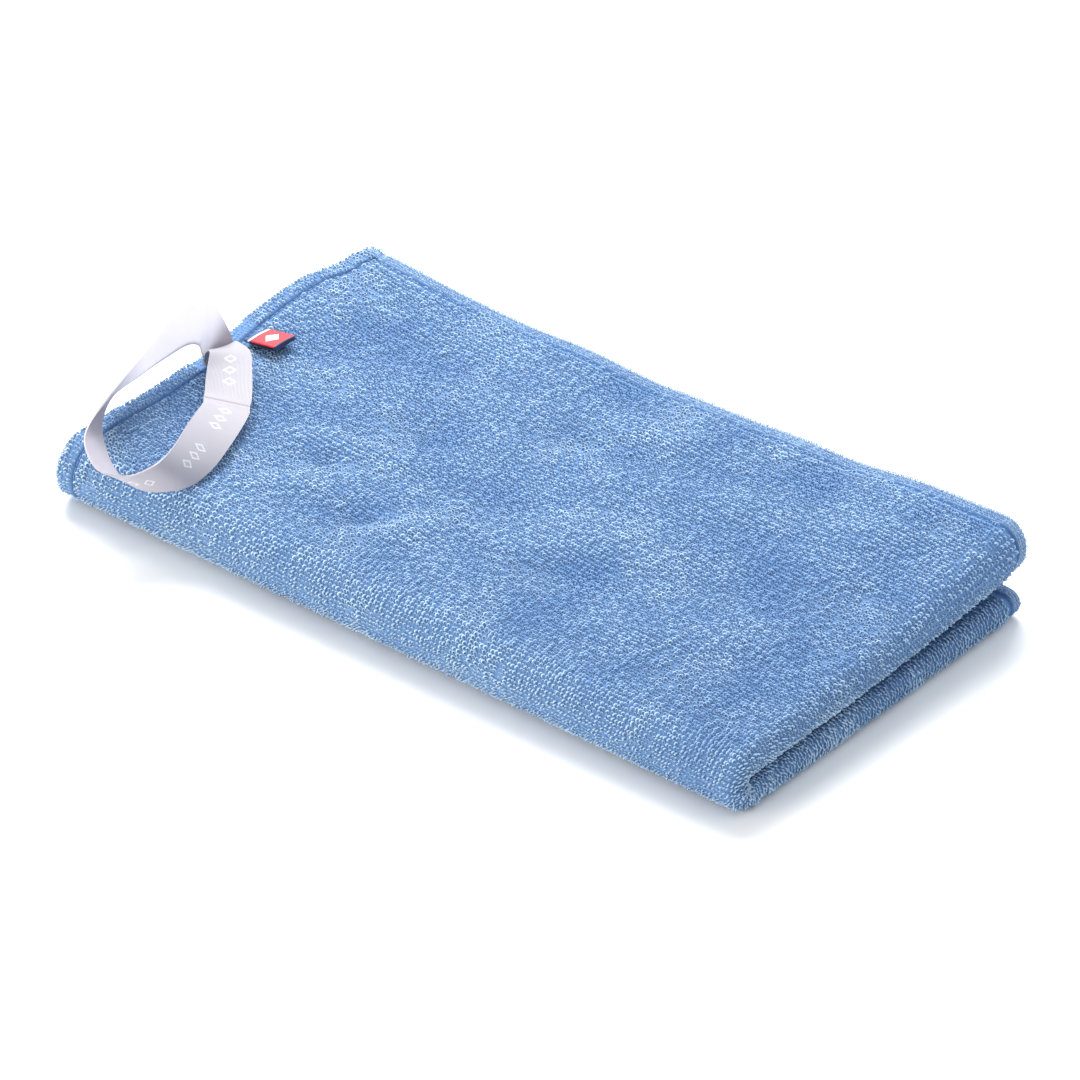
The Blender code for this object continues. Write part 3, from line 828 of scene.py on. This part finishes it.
def stitch_tree():
    tree, given, result = start_tree(
        "stitches",
        {
            "Length": ("NodeSocketFloat", 0.0023),
            "Thickness": ("NodeSocketFloat", 0.00024),
            "Material": ("NodeSocketMaterial", None),
        },
    )
    bar = node(
        tree,
        "GeometryNodeMeshCylinder",
        {
            "Vertices": 6,
            "Side Segments": 1,
            "Radius": given.outputs["Thickness"],
            "Depth": given.outputs["Length"],
        },
    )
    flat = {"Geometry": bar.outputs["Mesh"], "Rotation": (0, pi / 2, 0)}
    laid = node(tree, "GeometryNodeTransform", flat)
    rounded = node(tree, "GeometryNodeSetShadeSmooth", {"Geometry": out(laid)})
    placed = node(
        tree,
        "GeometryNodeInstanceOnPoints",
        {
            "Points": given.outputs["Geometry"],
            "Instance": out(rounded),
            "Rotation": upright(tree),
        },
    )
    return end_tree(tree, out(placed), given, result)


STITCH = stitch_tree()
STITCH_PITCH = 0.0030


def hem_stitches(half, outer):
    bends = np.arange(-1, 0, STITCH_PITCH / OUTER_ARC)
    flats = np.arange(0.002, 0.995, STITCH_PITCH / LAYER_WIDTH)
    across = np.concatenate([bends, flats])
    a = np.full(len(across), HEM_SEAM / LAYER_LENGTH)
    a = a if outer else 3 - a
    out_ward, ahead = facing(half, a, across)
    sideways = np.cross(out_ward, ahead)
    points = place(half, a, across) + out_ward * (half_thickness(a, across) + 0.0002)[:, None]
    return points, out_ward, sideways


stitches = {}
for half in ("upper", "lower"):
    both = zip(hem_stitches(half, outer=True), hem_stitches(half, outer=False))
    rows = [np.concatenate(group) for group in both]
    directions = {"facing": rows[1], "ahead": rows[2]}
    stitches[half] = grown(
        f"{half}_hem_stitches", STITCH, rows[0], directions, {"Material": thread}
    )
    print(half, "stitches", len(rows[0]))

# %% [markdown]
# ## The ribbon loop
# A flat ribbon is modelled directly as a strip that follows pairs of points on its two edges,
# because a simulation would stretch so narrow a piece. It leaves the seam, comes over the top,
# creases, goes round by the long fold standing on its edge, and returns along the hem to the seam.

# %% Where the ribbon's edges run
ribbon_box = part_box("hanging_loop")
RIBBON_WIDTH, RIBBON_CLOTH = 0.019, 0.0007
SEAM_HEIGHT = 0.0259
EDGES = (  # pairs of points from one sewn end to the other, with heights above the towel
    ((-0.1672, 0.0040, 0.0002), (-0.1672, -0.0150, 0.0002)),
    ((-0.1672, 0.0036, 0.0012), (-0.1676, -0.0154, 0.0030)),
    ((-0.1620, 0.0010, 0.0032), (-0.1648, -0.0173, 0.0078)),
    ((-0.1536, -0.0030, 0.0036), (-0.1609, -0.0193, 0.0096)),
    ((-0.1452, -0.0120, 0.0036), (-0.1558, -0.0273, 0.0074)),
    ((-0.1335, -0.0262, 0.0022), (-0.1492, -0.0366, 0.0050)),
    ((-0.1312, -0.0296, 0.0018), (-0.1475, -0.0397, 0.0050)),
    ((-0.1305, -0.0305, 0.0015), (-0.1468, -0.0405, 0.0047)),
    ((-0.1299, -0.0315, 0.0016), (-0.1461, -0.0415, 0.0049)),
    ((-0.1275, -0.0362, 0.0014), (-0.1433, -0.0450, 0.0054)),
    ((-0.1195, -0.0580, 0.0016), (-0.1345, -0.0636, 0.0110)),
    ((-0.1150, -0.0750, 0.0016), (-0.1256, -0.0826, 0.0146)),
    ((-0.1150, -0.0868, 0.0011), (-0.1214, -0.0955, 0.0160)),
    ((-0.1205, -0.0932, -0.0005), (-0.1222, -0.1032, 0.0152)),
    ((-0.1309, -0.0968, -0.0030), (-0.1290, -0.1092, 0.0115)),
    ((-0.1420, -0.0985, 0.0000), (-0.1400, -0.1135, 0.0115)),
    ((-0.1558, -0.0905, 0.0020), (-0.1534, -0.1061, 0.0126)),
    ((-0.1677, -0.0788, 0.0040), (-0.1619, -0.0944, 0.0131)),
    ((-0.1745, -0.0640, 0.0058), (-0.1658, -0.0765, 0.0165)),
    ((-0.1766, -0.0443, 0.0045), (-0.1700, -0.0517, 0.0207)),
    ((-0.1772, -0.0294, 0.0040), (-0.1738, -0.0357, 0.0216)),
    ((-0.1757, -0.0183, 0.0049), (-0.1769, -0.0162, 0.0238)),
    ((-0.1724, -0.0129, 0.0039), (-0.1737, -0.0057, 0.0215)),
    ((-0.1671, -0.0162, 0.0038), (-0.1709, 0.0010, 0.0108)),
    ((-0.1677, -0.0155, 0.0016), (-0.1691, 0.0033, 0.0039)),
    ((-0.1682, -0.0150, 0.0002), (-0.1682, 0.0040, 0.0002)),
)


def smooth_place(points, share):
    """A point on the smooth curve through these points."""
    spot = share * (len(points) - 1)
    i = min(int(spot), len(points) - 2)
    s = spot - i
    p, q = points[i], points[i + 1]
    before = points[i - 1] if i else p + (p - q)
    after = points[i + 2] if i + 2 < len(points) else q + (q - p)
    curve = 2 * p + (q - before) * s + (2 * before - 5 * p + 4 * q - after) * s**2
    return 0.5 * (curve + (3 * (p - q) + after - before) * s**3)


def ribbon_edges():
    sides = []
    for side in (0, 1):
        points = []
        for i, pair in enumerate(EDGES):
            x, y, z = pair[side]
            sewn = max(0.0, 1 - min(i, len(EDGES) - 1 - i) / 3)
            points.append(Vector((x, y, z + lerp(STACK, SEAM_HEIGHT, sewn))))
        sides.append(points)
    return sides


print("the loop's box:", [tuple(round(c, 4) for c in corner) for corner in ribbon_box])


# %% The ribbon's finish
RIB_PITCH = 0.00055
FRONT_COLOUR, BACK_COLOUR = (0.44, 0.42, 0.465, 1), (0.46, 0.425, 0.485, 1)
# The pale colour of the far stretch is a painted reflection of the bright light off the satin.
GLARE_COLOUR, MOTIF_COLOUR = (0.86, 0.85, 0.89, 1), (0.72, 0.71, 0.75, 1)
MOTIF_START, MOTIF_PITCH = 0.0115, 0.0330
LOZENGE_PITCH, LOZENGE, LINE_STARTS = 0.0068, (0.0025, 0.0030), 0.60


def maths(tree, operation, a, b=0.0):
    return out(node(tree, "ShaderNodeMath", {0: a, 1: b}, operation=operation))


def lozenge(tree, across, up, half_width, half_height):
    """0 in the middle of a lozenge and 1 on its edge."""
    across = maths(tree, "MULTIPLY", maths(tree, "ABSOLUTE", across), 1 / half_width)
    up = maths(tree, "MULTIPLY", maths(tree, "ABSOLUTE", up), 1 / half_height)
    return maths(tree, "ADD", across, up)


ribbon, tree, surface = finish(
    "satin_ribbon", 0.42, sheen=0.35, sheen_tint=(0.95, 0.93, 1, 1), specular=0.4
)
where = out(node(tree, "ShaderNodeUVMap", uv_map="ribbon"), "UV")
parts = node(tree, "ShaderNodeSeparateXYZ", {"Vector": where})
ribs = maths(tree, "SINE", maths(tree, "MULTIPLY", out(parts, "Y"), 2 * pi / RIB_PITCH))
bump = node(tree, "ShaderNodeBump", {"Height": ribs, "Strength": 0.35, "Distance": 0.00012})
# Where the far stretch lets light through, its colour is also painted pale, as a painted
# reflection.
back, thin_and_glare = attribute(tree, "back"), attribute(tree, "thin_and_glare")
faces = blended(tree, back, FRONT_COLOUR, BACK_COLOUR)
faces = blended(tree, thin_and_glare, faces, GLARE_COLOUR)
grained = blended(tree, 1.0, faces, spread(tree, ribs, -1.0, 1.0, 0.89, 1.05), "MULTIPLY")

# Groups of three lozenge outlines repeat along the front.
along = maths(tree, "SUBTRACT", out(parts, "X"), MOTIF_START)
along = maths(tree, "FLOORED_MODULO", along, MOTIF_PITCH)
in_group = maths(tree, "ABSOLUTE", maths(tree, "SUBTRACT", along, MOTIF_PITCH / 2))
in_one = maths(tree, "SUBTRACT", along, MOTIF_PITCH / 2 - LOZENGE_PITCH / 2)
in_one = maths(tree, "FLOORED_MODULO", in_one, LOZENGE_PITCH)
in_one = maths(tree, "SUBTRACT", in_one, LOZENGE_PITCH / 2)
reach = lozenge(tree, in_one, out(parts, "Y"), *LOZENGE)
inside, outside = (
    maths(tree, "LESS_THAN", reach, 1.0),
    maths(tree, "GREATER_THAN", reach, LINE_STARTS),
)
line = maths(tree, "MULTIPLY", outside, inside)
line = maths(tree, "MULTIPLY", line, maths(tree, "LESS_THAN", in_group, 1.5 * LOZENGE_PITCH))
mark = maths(tree, "MULTIPLY", line, maths(tree, "SUBTRACT", 1.0, back))
tree.links.new(blended(tree, mark, grained, MOTIF_COLOUR), surface.inputs["Base Color"])
tree.links.new(out(bump), surface.inputs["Normal"])

through = node(tree, "ShaderNodeBsdfTranslucent", {"Color": (0.95, 0.93, 0.97, 1)})
lets_through = spread(tree, thin_and_glare, 0.0, 1.0, 0.12, 0.50)
both = node(tree, "ShaderNodeMixShader", {0: lets_through, 1: out(surface), 2: out(through)})
tree.links.new(out(both), tree.nodes["Material Output"].inputs["Surface"])

# %% Make the ribbon
RIBBON_ROWS, RIBBON_COLUMNS = 400, 13


def make_ribbon():
    low_edge, high_edge = ribbon_edges()
    rows = []
    for i in range(RIBBON_ROWS):
        share = i / (RIBBON_ROWS - 1)
        rows.append([smooth_place(edge, share) for edge in (low_edge, high_edge)])
    travelled, points, spots = 0.0, [], []
    for i, (low, high) in enumerate(rows):
        middle, across = (low + high) / 2, (high - low).normalized()
        before, after = rows[max(i - 1, 0)], rows[min(i + 1, RIBBON_ROWS - 1)]
        ahead = (after[0] + after[1] - before[0] - before[1]).normalized()
        travelled += (middle - (rows[i - 1][0] + rows[i - 1][1]) / 2).length if i else 0.0
        out_ward = ahead.cross(across).normalized()
        for side in (1, -1):
            for j in range(RIBBON_COLUMNS):
                off = (j / (RIBBON_COLUMNS - 1) - 0.5) * RIBBON_WIDTH
                points.append(tuple(middle + across * off + out_ward * side * RIBBON_CLOTH / 2))
                spots.append((travelled, off))
    ring = 2 * RIBBON_COLUMNS
    order = list(range(RIBBON_COLUMNS)) + list(range(ring - 1, RIBBON_COLUMNS - 1, -1))
    quads = []
    for i in range(RIBBON_ROWS - 1):
        for k in range(ring):
            p, q = order[k] + i * ring, order[(k + 1) % ring] + i * ring
            quads.append((p, q, q + ring, p + ring))
    first, last = order[::-1], [k + (RIBBON_ROWS - 1) * ring for k in order]
    made = mesh_object("ribbon_loop", points, quads + [first, last], [ribbon])
    layer = made.data.uv_layers.new(name="ribbon")
    for corner in made.data.loops:
        layer.uv[corner.index].vector = spots[corner.vertex_index]
    return made, travelled


hanging_loop, RIBBON_LENGTH = make_ribbon()
print("ribbon", round(RIBBON_LENGTH * 1000), "mm long")

# %% [markdown]
# Which face is the front is a fact of the strip, so it is kept as an attribute on its points. So
# is where the far stretch that arches over the hem lets the light through and is painted pale, a
# painted reflection of the bright light off the satin; one edge keeps its plain darker colour, as
# painted shade along that edge. The motif is worked out where it is seen, from the ribbon's own
# coordinates, in the finish.

# %% Mark the ribbon's two faces and where it is painted pale
side = hanging_loop.data.attributes.new("back", "FLOAT", "POINT")
index = np.arange(len(hanging_loop.data.vertices))
side.data.foreach_set("value", np.where(index % (2 * RIBBON_COLUMNS) < RIBBON_COLUMNS, 1.0, 0.0))
# The far stretch lets light through and is painted pale as a painted reflection; one edge is left
# out, a darker line there as painted shade.
thin_and_glare_layer = hanging_loop.data.attributes.new("thin_and_glare", "FLOAT", "POINT")
share = index // (2 * RIBBON_COLUMNS) / (RIBBON_ROWS - 1)
thin_and_glare_there = smooth(share, 0.70, 0.77) * (1 - smooth(share, 0.90, 0.95))
at_edge = index % RIBBON_COLUMNS == 0
thin_and_glare_layer.data.foreach_set("value", thin_and_glare_there * (1 - at_edge))

# %% [markdown]
# ## The label
# The woven label is a strip folded in half and caught in the hem by both ends. It has narrow
# stripes where it leaves the seam and a plain red field with a small pale lozenge.

# %% Make the label
label, tree, surface = finish("woven_label", 0.55, sheen=0.15, specular=0.3)
where = out(node(tree, "ShaderNodeUVMap", uv_map="label"), "UV")
parts = node(tree, "ShaderNodeSeparateXYZ", {"Vector": where})
stripes = node(tree, "ShaderNodeValToRGB", {"Fac": out(parts, "X")})
stripes.color_ramp.interpolation = "CONSTANT"
PALE, NAVY = (0.85, 0.87, 0.92, 1), (0.020, 0.028, 0.085, 1)
SKY, RED = (0.20, 0.33, 0.75, 1), (0.66, 0.012, 0.030, 1)
STRIPES = ((0.0, NAVY), (0.10, SKY), (0.14, PALE), (0.19, NAVY), (0.23, RED), (0.975, NAVY))
for start, colour in STRIPES:
    stop = stripes.color_ramp.elements.new(start) if start else stripes.color_ramp.elements[0]
    stop.color = colour
while stripes.color_ramp.elements[-1].position > 0.99:  # the stop that a new ramp ends with
    stripes.color_ramp.elements.remove(stripes.color_ramp.elements[-1])
across = maths(tree, "SUBTRACT", out(parts, "X"), 0.60)
up = maths(tree, "SUBTRACT", out(parts, "Y"), 0.5)
in_mark = maths(tree, "LESS_THAN", lozenge(tree, across, up, 0.21, 0.30), 1.0)
field = blended(tree, in_mark, out(stripes), (0.82, 0.80, 0.86, 1))
tree.links.new(field, surface.inputs["Base Color"])

TAG_WIDTH, TAG_REACH, TAG_PLY = 0.0135, 0.0160, 0.00045
TAG_PUFF, TAG_NOSE = 0.0015, 0.074  # how far its plies part, and its share that turns at the end
TAG_TILT, TAG_ROLL = 0.16, 0.10  # how far its end rises, and its near side
TAG_ROWS, TAG_COLUMNS = 40, 11
tag_low, tag_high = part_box("woven_tag")
TAG_ROOT = Vector((-0.1672, (tag_low.y + tag_high.y) / 2, 0.0250))


def make_label():
    points, spots = [], []
    for i in range(TAG_ROWS + 1):
        run = 2 * i / TAG_ROWS - 1  # -1 at the lower sewn end, 0 at the fold, 1 at the upper one
        reach = TAG_REACH * min(1.0, (1 - abs(run)) * 1.08) if abs(run) > TAG_NOSE else TAG_REACH
        side = 1 if run > 0 else -1
        puff = TAG_PUFF / 2 * (reach / TAG_REACH) ** 0.6 * side
        height = puff * min(1.0, abs(run) / TAG_NOSE) ** 0.5
        for j in range(TAG_COLUMNS):
            y = (j / (TAG_COLUMNS - 1) - 0.5) * TAG_WIDTH
            z = height + 0.0004 * cos(y / TAG_WIDTH * pi) * (1 if height > 0 else -0.3)
            x = reach * cos(TAG_TILT) - z * sin(TAG_TILT)
            z = reach * sin(TAG_TILT) + z * cos(TAG_TILT) - TAG_ROLL * y
            points.append(tuple(TAG_ROOT + Vector((x, y, z))))
            spots.append((reach / TAG_REACH if run > 0 else 0.99, j / (TAG_COLUMNS - 1)))
    quads = grid_faces(TAG_ROWS + 1, TAG_COLUMNS)
    made = mesh_object("folded_label", points, quads, [label])
    solid = made.modifiers.new("ply", "SOLIDIFY")
    solid.thickness, solid.offset = TAG_PLY, 0
    layer = made.data.uv_layers.new(name="label")
    for corner in made.data.loops:
        layer.uv[corner.index].vector = spots[corner.vertex_index]
    graph = bpy.context.evaluated_depsgraph_get()
    plain = bpy.data.meshes.new_from_object(made.evaluated_get(graph))
    made.modifiers.clear()
    made.data = plain
    return made


folded_label = make_label()
print("label", len(folded_label.data.polygons), "faces")

# %% [markdown]
# ## Taking the place of the frame's parts
# The upper half opens about the long fold. The pieces of both halves stay where they are made,
# and the rigid parts that they stand for are hidden; the ribbon and the label each follow a body
# of their own.

# %% Hide the parts that the pieces stand for, and attach the ribbon and the label
LAYER_NODES = ("outer_panel", "inner_panel", "outer_hem", "inner_hem")
HALF_NODES = (*LAYER_NODES, "outer_selvedge", "inner_selvedge", "end_fold")
for half in ("upper", "lower"):
    everything = [grounds[half], *piles[half], stitches[half]]
    for piece in everything:
        if half == "upper":
            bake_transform(piece)
        else:
            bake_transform(piece)
    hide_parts(*(f"{half}_{name}" for name in HALF_NODES))
    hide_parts(f"{half}_outer_hem_stitching", f"{half}_inner_hem_stitching")
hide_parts("outer_long_fold", "outer_long_fold_hem", "corner_fold")
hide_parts("inner_long_fold", "inner_long_fold_hem")
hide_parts("outer_long_fold_stitching")
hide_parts("inner_long_fold_stitching")

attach(hanging_loop, "loop")
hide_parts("hanging_loop")
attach(folded_label, "tag")
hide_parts("woven_tag")
